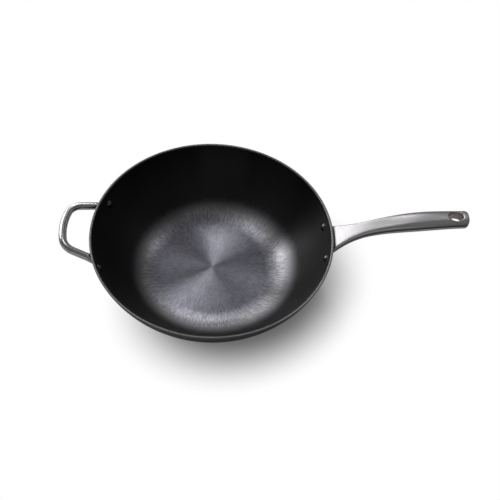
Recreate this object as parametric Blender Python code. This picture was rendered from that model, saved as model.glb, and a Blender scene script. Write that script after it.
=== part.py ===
"""Cast iron wok with a hollow steel long handle and a bent steel helper handle.

The origin is the middle of the flat underside. +X points along the long handle, +Z is up.
All sizes are in metres.
"""
from math import acos, asin, atan2, cos, pi, radians, sin, sqrt

import bmesh
import bpy
from mathutils import Matrix, Vector

# Pan
RIM_RADIUS = 0.160
INNER_DEPTH = 0.0825
WALL = 0.003
BASE_THICKNESS = 0.004
FLAT_RADIUS = 0.075
CORNER_RADIUS = 0.048
RIM_SLOPE = radians(77.5)
RIM_ROUNDING = 0.0008
FOOT_MARGIN = 0.004
FOOT_CHAMFER = 0.0005

# Joints between touching pieces
GAP = 0.0003

# Rivets
RIVET_DEPTH = 0.0165
RIVET_SHANK_RADIUS = 0.0027
RIVET_HEAD_RADIUS = 0.0052
RIVET_HEAD_HEIGHT = 0.0026
RIVET_HEAD_SEAT = 0.0005
RIVET_TAIL_RADIUS = 0.0044
RIVET_TAIL_HEIGHT = 0.0012
RIVET_TAIL_TOP_RADIUS = 0.0031
HANDLE_RIVET_ANGLE = radians(9.9)
HELPER_RIVET_ANGLE = radians(20.4)

# Plate that holds the long handle on the wall
PLATE = 0.0022
PLATE_LOWERING = 0.001
WING_MARGIN = 0.0105
WING_HEIGHT = 0.0175
WING_CORNER = 0.008
NOTCH_MARGIN = 0.0038
NOTCH_DROP = 0.0130
NOTCH_CORNER = 0.001
TONGUE_LENGTH = 0.026

# Long handle: reach is measured outwards from the rim, height from the plane of the rim
SHEET = 0.0015
HANDLE_LENGTH = 0.1659
SEAM_DROP_AT_RIM = 0.0093
SEAM_RISE_AT_END = 0.0440
NECK_SLOPE = 0.76
END_SLOPE = 0.10
FLARE_WIDTH = 0.040
FLARE_TAPER = -0.95
NECK_WIDTH = 0.0203
NECK_REACH = 0.042
GRIP_WIDTH = 0.0252
GRIP_REACH = 0.105
END_WIDTH = 0.0225
FLARE_CROWN = 0.0060
GRIP_CROWN = 0.0080
END_CROWN = 0.0070
FLARE_KEEL = 0.0063
GRIP_KEEL = 0.0078
END_KEEL = 0.0072
FLARE_SQUARENESS = 5.0
GRIP_SQUARENESS = 2.9
KEEL_SQUARENESS = 3.6
END_CORNER_RADIUS = 0.0055
END_EDGE_RADIUS = 0.0025
SEAM_GROOVE_DEPTH = 0.0006
SEAM_GROOVE_HALF_HEIGHT = 0.0008

# Hanging eye
EYE_FROM_END = 0.0158
EYE_LENGTH = 0.0172
EYE_WIDTH = 0.0128
EYE_FUNNEL = 0.0026
EYE_TUBE_WALL = 0.0010

# Helper handle, laid out in its own plane, which tilts up as it leaves the pan
ROD_RADIUS = 0.0051
HELPER_DROP = 0.0087
HELPER_TILT = radians(15.3)
HELPER_REACH = 0.0337
HELPER_HALF_SPREAD = 0.0417
HELPER_LEG_ANGLE = radians(15.2)
HELPER_CORNER_RADIUS = 0.0205
HELPER_BOW_RADIUS = 0.094
FOOT_LENGTH = 0.013
FOOT_FLATTEN_LENGTH = 0.012
FOOT_HALF_WIDTH = 0.0064
FOOT_HALF_THICKNESS = 0.0042
PAD = 0.0016
PAD_MARGIN = 0.009
PAD_HEIGHT = 0.0175
PAD_CORNER = 0.008

# Guides run on past the pieces that they cut, and points this close are one point
HANDLE_OVERRUN = 0.017
TRIM_ABOVE_RIM = 0.025
BAND_OVERRUN = radians(4)
MERGE_DISTANCE = 1e-6
SHARP_ANGLE = radians(35)

# Number of steps on round shapes
PAN_STEPS = 80
CORNER_STEPS = 5
WALL_STEPS = 9
BAND_STEPS = 8
OUTLINE_CORNER_STEPS = 6
RIVET_STEPS = 16
RIVET_DOME_STEPS = 5
TONGUE_STEPS = 5
ROOT_ROUNDS = 4
HANDLE_STEPS = 20
HANDLE_END_STEPS = 4
HALF_SECTION_STEPS = 12
EYE_STEPS = 32
FUNNEL_STEPS = 4
ROD_STEPS = 12
FLATTEN_STEPS = 4
BEND_STEPS = 8
BOW_STEPS = 12

RIM_HEIGHT = BASE_THICKNESS + INNER_DEPTH


def spread(first, last, count):
    """Even values from first to last, count steps apart."""
    return [first + (last - first) * i / count for i in range(count + 1)]


def hermite(x, start, end, start_slope=0.0, end_slope=0.0):
    """Cubic curve between the points start and end, each an (x, value) pair."""
    span = end[0] - start[0]
    t = (x - start[0]) / span
    return (
        start[1] * (2 * t**3 - 3 * t**2 + 1)
        + start_slope * span * (t**3 - 2 * t**2 + t)
        + end[1] * (3 * t**2 - 2 * t**3)
        + end_slope * span * (t**3 - t**2)
    )


class PanWall:
    """Radial section of the pan: a flat floor, a corner arc and a longer wall arc up to the rim."""

    def __init__(self):
        self.corner_centre = Vector((FLAT_RADIUS, BASE_THICKNESS + CORNER_RADIUS))
        inner_rim = Vector((RIM_RADIUS - WALL / sin(RIM_SLOPE), RIM_HEIGHT))
        outward = Vector((sin(RIM_SLOPE), -cos(RIM_SLOPE)))
        across = inner_rim - self.corner_centre
        self.radius = (across.length_squared - CORNER_RADIUS**2) / (2 * (across.dot(outward) - CORNER_RADIUS))
        self.centre = inner_rim - self.radius * outward
        join = self.corner_centre - self.centre
        self.join_slope = atan2(join.x, -join.y)

    def point(self, slope, offset):
        """Point where the section has this slope, offset outwards from the inner face."""
        outward = Vector((sin(slope), -cos(slope)))
        if slope < self.join_slope:
            return self.corner_centre + (CORNER_RADIUS + offset) * outward
        return self.centre + (self.radius + offset) * outward

    def slope_at(self, drop, offset):
        """Slope of the upper arc at a drop below the rim's plane."""
        return acos((self.centre.y - RIM_HEIGHT + drop) / (self.radius + offset))

    def frame(self, angle, drop, offset):
        """Placement on the wall at an angle round the pan: X sideways, Y up the wall, Z to the inside."""
        slope = self.slope_at(drop, offset)
        radius, height = self.point(slope, offset)
        inward = Vector((-sin(slope), 0, cos(slope)))
        upward = Vector((cos(slope), 0, sin(slope)))
        sideways = upward.cross(inward)
        turn = Matrix((sideways, upward, inward)).transposed().to_4x4()
        return Matrix.Rotation(angle, 4, "Z") @ Matrix.Translation((radius, 0, height)) @ turn


PAN = PanWall()


def make_material(name, colour, roughness, metallic):
    material = bpy.data.materials.new(name)
    material.use_nodes = True
    shader = material.node_tree.nodes["Principled BSDF"]
    shader.inputs["Base Color"].default_value = (*colour, 1.0)
    shader.inputs["Roughness"].default_value = roughness
    shader.inputs["Metallic"].default_value = metallic
    material.diffuse_color = (*colour, 1.0)
    return material


def make_object(name, bm, material, matrix=Matrix(), parent=None):
    """Turn a bmesh into a smooth shaded object."""
    bmesh.ops.recalc_face_normals(bm, faces=bm.faces)
    mesh = bpy.data.meshes.new(name)
    bm.to_mesh(mesh)
    bm.free()
    mesh.shade_smooth()
    mesh.set_sharp_from_angle(angle=SHARP_ANGLE)
    obj = bpy.data.objects.new(name, mesh)
    bpy.context.collection.objects.link(obj)
    if material:
        mesh.materials.append(material)
    if parent:
        obj.parent = parent
    obj.matrix_local = matrix
    return obj


def make_guide(name, bm, matrix=Matrix(), parent=None):
    """A cutter or an outline that is no piece of the object."""
    guide = make_object(name, bm, None, matrix, parent)
    guide.hide_render = True
    guide.display_type = "WIRE"
    return guide


def combine(obj, operation, guide):
    """Cut, join or trim an object by a guide."""
    modifier = obj.modifiers.new(guide.name, "BOOLEAN")
    modifier.operation = operation
    modifier.object = guide


def turned(points, steps, angle=2 * pi):
    """Turn a section of (radius, height) points round Z, as a whole body or as a closed sector."""
    bm = bmesh.new()
    verts = [bm.verts.new((radius, 0, height)) for radius, height in points]
    if angle == 2 * pi:
        edges = [bm.edges.new(pair) for pair in zip(verts, verts[1:] + verts[:1])]
        bmesh.ops.spin(bm, geom=verts + edges, axis=(0, 0, 1), angle=angle, steps=steps, use_merge=True)
    else:
        bmesh.ops.rotate(bm, verts=verts, matrix=Matrix.Rotation(-angle / 2, 3, "Z"))
        near_end = bm.faces.new(verts)
        copy = bmesh.ops.duplicate(bm, geom=[near_end])
        start = [item for item in copy["geom"] if isinstance(item, bmesh.types.BMFace)]
        bmesh.ops.spin(bm, geom=start, axis=(0, 0, 1), angle=angle, steps=steps)
    bmesh.ops.remove_doubles(bm, verts=bm.verts, dist=MERGE_DISTANCE)
    return bm


def loft(rings):
    """Closed body through rings of points, each with the same count."""
    bm = bmesh.new()
    loops = [[bm.verts.new(point) for point in ring] for ring in rings]
    for near, far in zip(loops, loops[1:]):
        for i in range(len(near)):
            j = (i + 1) % len(near)
            bm.faces.new((near[i], near[j], far[j], far[i]))
    bm.faces.new(loops[0])
    bm.faces.new(reversed(loops[-1]))
    return bm


def prism(outline, low, high):
    """Upright body over an outline of (x, y) points."""
    return loft([[(x, y, z) for x, y in outline] for z in (low, high)])


def rounded_rectangle(width, height, corner):
    """Outline of a rectangle with round corners, centred on the origin."""
    corner = min(corner, width * 0.49, height * 0.49)
    outline = []
    for quarter, (side, end) in enumerate(((1, 1), (-1, 1), (-1, -1), (1, -1))):
        middle = Vector((side * (width / 2 - corner), end * (height / 2 - corner)))
        for angle in spread(quarter * pi / 2, (quarter + 1) * pi / 2, OUTLINE_CORNER_STEPS):
            outline.append(middle + corner * Vector((cos(angle), sin(angle))))
    return outline


def eye_outline(grow):
    """Oval of the hanging eye's tube, grown by an amount all round."""
    turns = spread(0, 2 * pi, EYE_STEPS)[:-1]
    return [((EYE_LENGTH / 2 + grow) * cos(turn), (EYE_WIDTH / 2 + grow) * sin(turn)) for turn in turns]


def wall_slopes():
    corner = spread(0, PAN.join_slope, CORNER_STEPS)
    return corner + spread(PAN.join_slope, RIM_SLOPE, WALL_STEPS)[1:]


def make_pan(material):
    """The iron casting: bowl, rim and the machined foot that it stands on."""
    foot_radius = FLAT_RADIUS + FOOT_MARGIN
    foot_slope = asin(FOOT_MARGIN / (CORNER_RADIUS + WALL))
    rim_slope = PAN.slope_at(0, WALL)
    inside = [(0, BASE_THICKNESS)] + [PAN.point(slope, 0) for slope in wall_slopes()]
    outer_slopes = spread(rim_slope, PAN.join_slope, WALL_STEPS)
    outer_slopes += spread(PAN.join_slope, foot_slope, CORNER_STEPS)[1:]
    outside = [PAN.point(slope, WALL) for slope in outer_slopes]
    foot = [(foot_radius, FOOT_CHAMFER), (foot_radius - FOOT_CHAMFER, 0), (0, 0)]
    bm = turned(inside + outside + foot, PAN_STEPS)
    rim_edges = [edge for edge in bm.edges if is_rim_edge(edge)]
    bmesh.ops.bevel(
        bm, geom=rim_edges, affect="EDGES", offset=RIM_ROUNDING, segments=2, profile=0.5, material=-1
    )
    pan = make_object("wok_pan", bm, material)
    for angle in rivet_angles():
        combine(pan, "DIFFERENCE", make_rivet_hole("pan_hole", angle))
    return pan


def is_rim_edge(edge):
    """True for the edges that run round the rim, along its inner and its outer corner."""
    first, last = (vert.co for vert in edge.verts)
    on_top = min(first.z, last.z) > RIM_HEIGHT - MERGE_DISTANCE
    return on_top and abs(first.xy.length - last.xy.length) < MERGE_DISTANCE


def rivet_angles():
    return (HANDLE_RIVET_ANGLE, -HANDLE_RIVET_ANGLE, pi + HELPER_RIVET_ANGLE, pi - HELPER_RIVET_ANGLE)


def make_rivet_hole(name, angle):
    """Cutter for a rivet's hole through the wall and what is held on it."""
    radius = RIVET_SHANK_RADIUS + GAP
    length = 4 * (WALL + PLATE + PAD)
    bm = bmesh.new()
    bmesh.ops.create_cone(
        bm, cap_ends=True, segments=RIVET_STEPS, radius1=radius, radius2=radius, depth=length
    )
    return make_guide(name, bm, PAN.frame(angle, RIVET_DEPTH, 0))


def make_rivet(name, angle, plate, material):
    """Rivet with a domed head inside the pan and a flatter tail on the plate outside."""
    dome = (RIVET_HEAD_RADIUS**2 + RIVET_HEAD_HEIGHT**2) / (2 * RIVET_HEAD_HEIGHT)
    opening = asin(RIVET_HEAD_RADIUS / dome)
    top = RIVET_HEAD_SEAT + RIVET_HEAD_HEIGHT
    turns = spread(0, opening, RIVET_DOME_STEPS)
    head = [(dome * sin(turn), top - dome * (1 - cos(turn))) for turn in turns]
    seat = -(WALL + GAP + plate + GAP)
    shank = [(RIVET_SHANK_RADIUS, RIVET_HEAD_SEAT), (RIVET_SHANK_RADIUS, seat)]
    tail = [
        (RIVET_TAIL_RADIUS, seat),
        (RIVET_TAIL_RADIUS, seat - RIVET_TAIL_HEIGHT / 2),
        (RIVET_TAIL_TOP_RADIUS, seat - RIVET_TAIL_HEIGHT),
        (0, seat - RIVET_TAIL_HEIGHT),
    ]
    bm = turned(head + shank + tail, RIVET_STEPS)
    return make_object(name, bm, material, PAN.frame(angle, RIVET_DEPTH, 0))


def make_wall_plug(name, offset):
    """Guide that fills the pan and its wall out to an offset, and goes on above the rim."""
    top = PAN.point(RIM_SLOPE, offset) + TRIM_ABOVE_RIM * Vector((cos(RIM_SLOPE), sin(RIM_SLOPE)))
    outside = [PAN.point(slope, offset) for slope in reversed(wall_slopes())]
    section = [(0, top.y), top] + outside + [(0, outside[-1].y)]
    return make_guide(name, turned(section, PAN_STEPS), Matrix())


def make_wall_band(name, thickness, angle, half_angle):
    """Guide: a sheet that hugs the outside of the wall, GAP away from it."""
    slopes = spread(PAN.slope_at(0, WALL), PAN.slope_at(RIM_HEIGHT / 2, WALL), BAND_STEPS)
    near = [PAN.point(slope, WALL + GAP) for slope in slopes]
    far = [PAN.point(slope, WALL + GAP + thickness) for slope in reversed(slopes)]
    steps = max(4, round(PAN_STEPS * half_angle / pi))
    return make_guide(name, turned(near + far, steps, 2 * half_angle), Matrix.Rotation(angle, 4, "Z"))


def wall_reach(point, offset):
    """Reach of the wall's outside, offset outwards, level with a point of the handle."""
    radius = PAN.point(PAN.slope_at(-point[2], offset), offset).x
    return sqrt(radius**2 - point[1] ** 2) - RIM_RADIUS


def tongue_root():
    """Section where the tongue starts, which follows the curved wall half way into the plate."""
    root = handle_ring(0, SHEET + GAP)
    for _ in range(ROOT_ROUNDS):
        reaches = [wall_reach(point, WALL + GAP + PLATE / 2) for point in root]
        root = [handle_ring(reach, SHEET + GAP)[i] for i, reach in enumerate(reaches)]
    return root


def make_handle_bracket(frame, material):
    """Curved plate under the two rivets, notched for the upper shell, with a tongue into the hollow handle."""
    rings = [tongue_root()]
    rings += [handle_ring(reach, SHEET + GAP) for reach in spread(0, TONGUE_LENGTH, TONGUE_STEPS)]
    bracket = make_object("handle_mounting_bracket", loft(rings), material, Matrix(), frame)

    rivet_spread = PAN.point(PAN.slope_at(RIVET_DEPTH, WALL), WALL).x * sin(HANDLE_RIVET_ANGLE)
    wing_width = 2 * (rivet_spread + WING_MARGIN)
    wing_drop = RIVET_DEPTH + PLATE_LOWERING
    outline = make_plate_outline("wing_outline", wing_width, WING_HEIGHT, WING_CORNER, wing_drop)
    band = make_wall_band("bracket_band", PLATE, 0, asin(wing_width / 2 / RIM_RADIUS) + BAND_OVERRUN)
    combine(band, "INTERSECT", outline)
    notch_width = FLARE_WIDTH + 2 * NOTCH_MARGIN
    combine(band, "DIFFERENCE", make_plate_outline("wing_notch", notch_width, 2 * NOTCH_DROP, NOTCH_CORNER, 0))
    combine(bracket, "UNION", band)
    for angle in (HANDLE_RIVET_ANGLE, -HANDLE_RIVET_ANGLE):
        combine(bracket, "DIFFERENCE", make_rivet_hole("bracket_hole", angle))
    return bracket


def make_plate_outline(name, width, height, corner, drop):
    """Guide that runs along X through the wall under the long handle, its middle a drop below the rim."""
    depth = RIM_RADIUS / 2
    bm = prism(rounded_rectangle(width, height, corner), -depth, depth)
    face = Matrix.Rotation(pi / 2, 4, "Z") @ Matrix.Rotation(pi / 2, 4, "X")
    return make_guide(name, bm, Matrix.Translation((RIM_RADIUS, 0, RIM_HEIGHT - drop)) @ face)


def seam_height(reach):
    return hermite(
        reach, (0, -SEAM_DROP_AT_RIM), (HANDLE_LENGTH, SEAM_RISE_AT_END), NECK_SLOPE, END_SLOPE
    )


def eased(reach, flare, grip, end):
    """A size that goes from the flare to the grip and on to the end of the handle."""
    if reach < GRIP_REACH:
        return hermite(max(reach, 0), (0, flare), (GRIP_REACH, grip))
    return hermite(min(reach, HANDLE_LENGTH), (GRIP_REACH, grip), (HANDLE_LENGTH, end))


def handle_half_width(reach):
    if reach < 0:
        return (FLARE_WIDTH + FLARE_TAPER * reach) / 2
    if reach < NECK_REACH:
        return hermite(reach, (0, FLARE_WIDTH), (NECK_REACH, NECK_WIDTH), FLARE_TAPER) / 2
    if reach < GRIP_REACH:
        return hermite(reach, (NECK_REACH, NECK_WIDTH), (GRIP_REACH, GRIP_WIDTH)) / 2
    return hermite(reach, (GRIP_REACH, GRIP_WIDTH), (HANDLE_LENGTH, END_WIDTH)) / 2


def end_inset(reach, radius, end):
    """How far a round corner of this radius draws in, near the end of the handle."""
    past = max(reach - (end - radius), 0)
    return radius - sqrt(max(radius**2 - past**2, 0))


def half_section(reach, inset, side, end):
    """Half width, height and squareness of one shell's section. side is 1 above the seam, -1 below it."""
    corner = max(END_CORNER_RADIUS - inset, SHEET)
    edge = max(END_EDGE_RADIUS - inset, SHEET / 2)
    half_width = handle_half_width(reach) - inset - end_inset(reach, corner, end)
    height = eased(reach, FLARE_CROWN, GRIP_CROWN, END_CROWN)
    squareness = eased(reach, FLARE_SQUARENESS, GRIP_SQUARENESS, GRIP_SQUARENESS)
    if side < 0:
        height = eased(reach, FLARE_KEEL, GRIP_KEEL, END_KEEL)
        squareness = KEEL_SQUARENESS
    return half_width, height - inset - end_inset(reach, edge, end), squareness


def shell_height(reach, across, side):
    """Height of a shell's outer face over a point of the handle."""
    half_width, height, squareness = half_section(reach, 0, side, HANDLE_LENGTH)
    left = max(1 - (abs(across) / half_width) ** squareness, 0)
    return seam_height(reach) + side * height * left ** (1 / squareness)


def half_ring(reach, inset, side, end):
    """Points of one shell's section from +Y over the top, or the bottom, to -Y."""
    half_width, height, squareness = half_section(reach, inset, side, end)
    middle = seam_height(reach)
    points = []
    for turn in spread(0, pi, HALF_SECTION_STEPS):
        across = abs(cos(turn)) ** (2 / squareness) * (1 if turn < pi / 2 else -1)
        up = abs(sin(turn)) ** (2 / squareness) if 0 < turn < pi else 0
        points.append((reach, half_width * across, middle + side * max(height * up, SEAM_GROOVE_HALF_HEIGHT)))
    return points


def handle_ring(reach, inset):
    """Whole section of the handle, above and below the seam."""
    over = half_ring(reach, inset, 1, HANDLE_LENGTH)
    under = half_ring(reach, inset, -1, HANDLE_LENGTH)
    return over + under[::-1]


def shell_ring(reach, side):
    """Outer section of one shell, closed along the seam, with the edges drawn in to form the groove."""
    ring = half_ring(reach, 0, side, HANDLE_LENGTH)
    first = Vector(ring[0])
    last = Vector(ring[-1])
    inward = Vector((0, SEAM_GROOVE_DEPTH, 0))
    seam = seam_height(reach) + side * GAP / 2
    first_lip = Vector((reach, first.y, seam)) - inward
    last_lip = Vector((reach, last.y, seam)) + inward
    return [first_lip] + ring + [last_lip]


def hollow_ring(reach, side, end):
    """Inner section of one shell, carried past the seam so that the shell stays open there."""
    ring = half_ring(reach, SHEET, side, end)
    below = seam_height(reach) - side * GAP
    return [(reach, ring[0][1], below)] + ring + [(reach, ring[-1][1], below)]


def handle_reaches(end):
    straight = spread(-HANDLE_OVERRUN, end - END_CORNER_RADIUS, HANDLE_STEPS)
    rounded = [end - END_CORNER_RADIUS * (1 - sin(turn)) for turn in spread(0, pi / 2, HANDLE_END_STEPS)]
    return straight + rounded[1:]


def make_handle_shell(name, side, frame, wall_trim, material):
    """One of the two thin shells that make the hollow handle."""
    rings = [shell_ring(reach, side) for reach in handle_reaches(HANDLE_LENGTH)]
    shell = make_object(name, loft(rings), material, Matrix(), frame)
    cavity_end = HANDLE_LENGTH - SHEET
    reaches = handle_reaches(cavity_end)
    reaches = [2 * reaches[0] - reaches[1]] + reaches
    inside = [hollow_ring(reach, side, cavity_end) for reach in reaches]
    combine(shell, "DIFFERENCE", make_guide(name + "_hollow", loft(inside), Matrix(), frame))
    combine(shell, "DIFFERENCE", wall_trim)
    tall = 2 * (GRIP_CROWN + GRIP_KEEL)
    hole = prism(eye_outline(EYE_FUNNEL + GAP), -tall, tall)
    combine(shell, "DIFFERENCE", make_guide(name + "_eye", hole, Matrix.Translation(eye_middle()), frame))
    return shell


def eye_middle():
    reach = HANDLE_LENGTH - EYE_FROM_END
    return Vector((reach, 0, seam_height(reach)))


def make_eye_sleeve(frame, material):
    """Oval tube through both shells, opened into a funnel at each end, flush with the shells."""
    middle = eye_middle()

    def ring(grow, side, sink):
        points = []
        for x, y in eye_outline(grow):
            height = shell_height(middle.x + x, y, side) - side * sink
            points.append((x, y, height - middle.z))
        return points

    quarter = spread(0, pi / 2, FUNNEL_STEPS)
    tube = EYE_TUBE_WALL
    funnel = [(EYE_FUNNEL * (1 - sin(turn)), EYE_FUNNEL * (1 - cos(turn))) for turn in quarter]
    rings = [ring(grow, 1, sink) for grow, sink in funnel]
    rings += [ring(grow, -1, sink) for grow, sink in reversed(funnel)]
    rings += [ring(EYE_FUNNEL, -1, tube), ring(tube, -1, EYE_FUNNEL + tube)]
    rings += [ring(tube, 1, EYE_FUNNEL + tube), ring(EYE_FUNNEL, 1, tube)]
    bm = bmesh.new()
    loops = [[bm.verts.new(point) for point in points] for points in rings]
    for near, far in zip(loops, loops[1:] + loops[:1]):
        for i in range(EYE_STEPS):
            j = (i + 1) % EYE_STEPS
            bm.faces.new((near[i], near[j], far[j], far[i]))
    return make_object("handle_eye_sleeve", bm, material, Matrix.Translation(middle), frame)


def helper_path():
    """Middle line of the rod from foot to foot, as (distance from the rim, sideways) in its own plane."""
    lift = cos(HELPER_TILT)
    bow_centre = Vector((HELPER_REACH / lift - HELPER_BOW_RADIUS, 0))
    along = Vector((cos(HELPER_LEG_ANGLE), -sin(HELPER_LEG_ANGLE)))
    inside = Vector((-sin(HELPER_LEG_ANGLE), -cos(HELPER_LEG_ANGLE)))
    foot = Vector((0, HELPER_HALF_SPREAD))
    offset = foot + HELPER_CORNER_RADIUS * inside - bow_centre
    half = offset.dot(along)
    reach = (HELPER_BOW_RADIUS - HELPER_CORNER_RADIUS) ** 2
    leg = -half + sqrt(half**2 - offset.length_squared + reach)
    corner = bow_centre + offset + leg * along
    bow_angle = atan2(*(corner - bow_centre).yx)
    corner_start = pi / 2 - HELPER_LEG_ANGLE
    straight = spread(-FOOT_LENGTH, FOOT_FLATTEN_LENGTH - FOOT_LENGTH, FLATTEN_STEPS)
    side = [foot + distance * along for distance in straight]
    side += [
        corner + HELPER_CORNER_RADIUS * Vector((cos(turn), sin(turn)))
        for turn in spread(corner_start, bow_angle, BEND_STEPS)
    ]
    bow = [
        bow_centre + HELPER_BOW_RADIUS * Vector((cos(turn), sin(turn)))
        for turn in spread(bow_angle, -bow_angle, BOW_STEPS)
    ]
    other = [Vector((point.x, -point.y)) for point in reversed(side)]
    return side + bow[1:-1] + other


def make_helper_handle(material):
    """Bent rod whose flattened feet run into riveted pads on the wall."""
    frame = bpy.data.objects.new("helper_frame", None)
    bpy.context.collection.objects.link(frame)
    frame.matrix_local = (
        Matrix.Translation((-RIM_RADIUS, 0, RIM_HEIGHT - HELPER_DROP))
        @ Matrix.Rotation(pi, 4, "Z")
        @ Matrix.Rotation(-HELPER_TILT, 4, "Y")
    )
    path = helper_path()
    rings = []
    for i, point in enumerate(path):
        before = path[max(i - 1, 0)]
        after = path[min(i + 1, len(path) - 1)]
        sideways = Vector((-(after - before).y, (after - before).x)).normalized()
        from_foot = min((point - path[0]).length, (point - path[-1]).length)
        share = min(from_foot / FOOT_FLATTEN_LENGTH, 1.0)
        wide = hermite(share, (0, FOOT_HALF_WIDTH), (1, ROD_RADIUS))
        thick = hermite(share, (0, FOOT_HALF_THICKNESS), (1, ROD_RADIUS))
        ring = []
        for turn in spread(0, 2 * pi, ROD_STEPS)[:-1]:
            place = point + wide * cos(turn) * sideways
            ring.append((place.x, place.y, thick * sin(turn)))
        rings.append(ring)
    helper = make_object("helper_handle", loft(rings), material, Matrix(), frame)
    combine(helper, "DIFFERENCE", make_wall_plug("foot_trim", WALL + GAP + PAD / 2))
    margin = asin(PAD_MARGIN / RIM_RADIUS)
    pad_start = asin(HELPER_HALF_SPREAD / RIM_RADIUS) - margin
    pad_end = HELPER_RIVET_ANGLE + margin
    half_angle = (pad_end - pad_start) / 2
    width = 2 * RIM_RADIUS * sin(half_angle)
    for sign in (1, -1):
        angle = pi + sign * (pad_start + pad_end) / 2
        outline = rounded_rectangle(width, PAD_HEIGHT, PAD_CORNER)
        placed = PAN.frame(angle, RIVET_DEPTH + PLATE_LOWERING, WALL)
        shape = make_guide("pad_outline", prism(outline, -width / 2, width / 2), placed)
        band = make_wall_band("pad_band", PAD, angle, half_angle + BAND_OVERRUN)
        combine(band, "INTERSECT", shape)
        combine(helper, "UNION", band)
        combine(helper, "DIFFERENCE", make_rivet_hole("pad_hole", pi + sign * HELPER_RIVET_ANGLE))
    return helper


def clear_scene():
    for obj in list(bpy.data.objects):
        bpy.data.objects.remove(obj, do_unlink=True)


def main():
    clear_scene()
    iron = make_material("seasoned cast iron", (0.030, 0.029, 0.032), 0.45, 0.6)
    satin_steel = make_material("satin steel", (0.58, 0.57, 0.57), 0.30, 1.0)
    polished_steel = make_material("polished steel", (0.66, 0.65, 0.65), 0.15, 1.0)
    rivet_steel = make_material("dark rivet steel", (0.10, 0.10, 0.11), 0.35, 1.0)

    make_pan(iron)
    handle_frame = bpy.data.objects.new("handle_frame", None)
    bpy.context.collection.objects.link(handle_frame)
    handle_frame.location = (RIM_RADIUS, 0, RIM_HEIGHT)
    upper_trim = make_wall_plug("upper_shell_trim", WALL + GAP)
    lower_trim = make_wall_plug("lower_shell_trim", WALL + GAP + PLATE + GAP)
    make_handle_shell("handle_upper_shell", 1, handle_frame, upper_trim, satin_steel)
    make_handle_shell("handle_lower_shell", -1, handle_frame, lower_trim, satin_steel)
    make_handle_bracket(handle_frame, satin_steel)
    make_eye_sleeve(handle_frame, polished_steel)
    make_helper_handle(polished_steel)
    make_rivet("handle_rivet_left", HANDLE_RIVET_ANGLE, PLATE, rivet_steel)
    make_rivet("handle_rivet_right", -HANDLE_RIVET_ANGLE, PLATE, rivet_steel)
    make_rivet("helper_rivet_left", pi - HELPER_RIVET_ANGLE, PAD, rivet_steel)
    make_rivet("helper_rivet_right", pi + HELPER_RIVET_ANGLE, PAD, rivet_steel)


main()
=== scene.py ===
"""Looks of a cast iron wok with a hollow steel long handle and a bent steel helper handle.

The pan's axis is Z and the long handle points along +X. All sizes are in metres.
"""

from math import acos, asin, atan2, cos, hypot, pi, radians, sin, sqrt

import bmesh
import bpy
from bpy.props import FloatProperty, FloatVectorProperty, PointerProperty
from mathutils import Matrix, Vector


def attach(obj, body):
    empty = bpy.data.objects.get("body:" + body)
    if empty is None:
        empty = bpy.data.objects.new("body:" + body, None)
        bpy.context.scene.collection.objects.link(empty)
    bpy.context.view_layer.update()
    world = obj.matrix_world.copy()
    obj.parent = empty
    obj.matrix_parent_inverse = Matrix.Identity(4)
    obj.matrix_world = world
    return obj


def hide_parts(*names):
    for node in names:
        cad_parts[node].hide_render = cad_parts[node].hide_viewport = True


bl_info = {
    "name": "Cast Iron Wok",
    "version": (1, 0, 0),
    "blender": (4, 5, 0),
    "location": "3D View > Sidebar > Wok",
    "description": "Builds a cast iron wok with steel handles and the stage that it is shown on",
    "category": "Object",
}

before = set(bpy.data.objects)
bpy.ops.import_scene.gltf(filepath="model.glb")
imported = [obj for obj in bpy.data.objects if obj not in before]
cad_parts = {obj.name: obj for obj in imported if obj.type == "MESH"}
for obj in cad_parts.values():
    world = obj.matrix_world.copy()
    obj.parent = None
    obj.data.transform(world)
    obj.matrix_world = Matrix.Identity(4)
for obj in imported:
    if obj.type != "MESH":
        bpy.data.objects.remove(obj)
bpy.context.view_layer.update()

MERGE_DISTANCE = 1e-6
ROUND_TOLERANCE = 1e-5
SHARP_ANGLE = radians(32)
SOLVE_STEPS = 40


def metres(name, description, default):
    return FloatProperty(
        name=name, description=description, default=default,
        min=0.0001, unit="LENGTH", subtype="DISTANCE",
    )


def degrees(name, description, default):
    return FloatProperty(
        name=name, description=description, default=radians(default),
        unit="ROTATION", subtype="ANGLE",
    )


def factor(name, description, default):
    return FloatProperty(
        name=name, description=description, default=default, min=0.0, max=1.0, subtype="FACTOR"
    )


def rgb(name, description, default):
    return FloatVectorProperty(
        name=name, description=description, default=default,
        min=0.0, max=1.0, size=3, subtype="COLOR",
    )


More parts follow.
